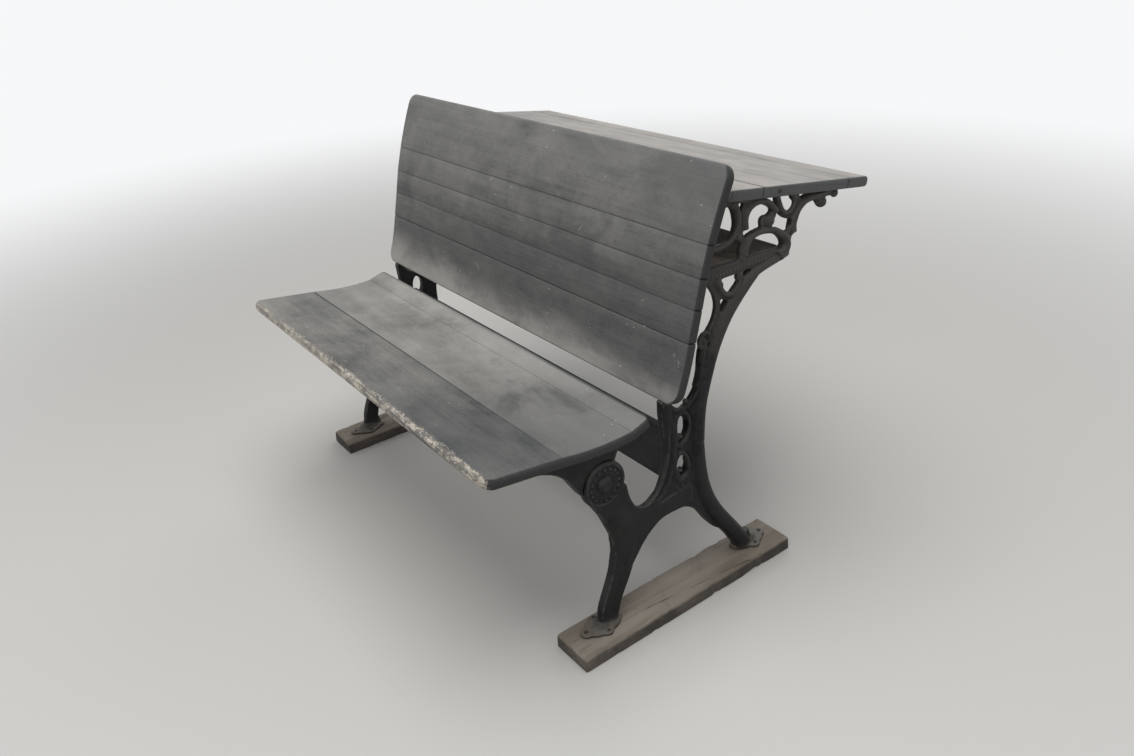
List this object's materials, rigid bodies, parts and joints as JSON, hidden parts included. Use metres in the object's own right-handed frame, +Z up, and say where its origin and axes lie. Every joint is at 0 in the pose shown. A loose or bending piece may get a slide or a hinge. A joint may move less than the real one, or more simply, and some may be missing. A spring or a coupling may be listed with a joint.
{
  "type": "school desk with lift lid",
  "caption": "Antique bench-desk of boards on ornate cast-iron standards: fold-up dished seat, slatted curved back, book shelf and a sloping desk top behind with a lift lid",
  "frame": {"origin": "on the floor, under the middle of the bench's bounding box", "axes": "+X along the bench to the sitter's left, +Y from the seat towards the desk top behind it, +Z up"},
  "size_m": [1.088, 0.8916, 0.8534],
  "materials": {
    "black_cast_iron": "black japanned cast iron, dusty and slightly rusted",
    "dark_steel": "dark, dull iron hardware",
    "weathered_skid_wood": "weathered brown-grey plank, scuffed and dry",
    "bare_shelf_wood": "bare brown wood, dry",
    "charcoal_painted_wood": "worn charcoal paint, dusty, chipped to bare wood at edges",
    "worn_top_wood": "worn grey-brown painted wood, dusty"
  },
  "bodies": {
    "frame": {"left_standard": "black_cast_iron", "right_standard": "black_cast_iron", "left_skid": "weathered_skid_wood", "right_skid": "weathered_skid_wood", "pivot_bolts": "dark_steel", "pivot_nuts": "dark_steel", "back_bottom_board": "charcoal_painted_wood", "back_lower_board": "charcoal_painted_wood", "back_middle_board": "charcoal_painted_wood", "back_upper_board": "charcoal_painted_wood", "back_top_board": "charcoal_painted_wood", "desk_strip": "worn_top_wood", "strip_hinge_leaves": "dark_steel", "hinge_pins": "dark_steel", "shelf_board": "bare_shelf_wood", "stretcher_board": "charcoal_painted_wood"},
    "seat": {"left_seat_arm": "black_cast_iron", "right_seat_arm": "black_cast_iron", "seat_front_board": "charcoal_painted_wood", "seat_middle_board": "charcoal_painted_wood", "seat_rear_board": "charcoal_painted_wood"},
    "lid": {"lid_main_board": "worn_top_wood", "lid_edge_board": "worn_top_wood", "lid_hinge_leaves": "dark_steel"}
  },
  "joints": [
    {"name": "seat_fold", "type": "hinge", "parent": "frame", "child": "seat", "pos_m": [0, -0.20843, 0.345], "axis": [-1, 0, 0], "range_deg": [0, 72]},
    {"name": "lid_lift", "type": "hinge", "parent": "frame", "child": "lid", "pos_m": [0, 0.15757, 0.79], "axis": [1, 0, 0], "range_deg": [0, 150]}
  ]
}
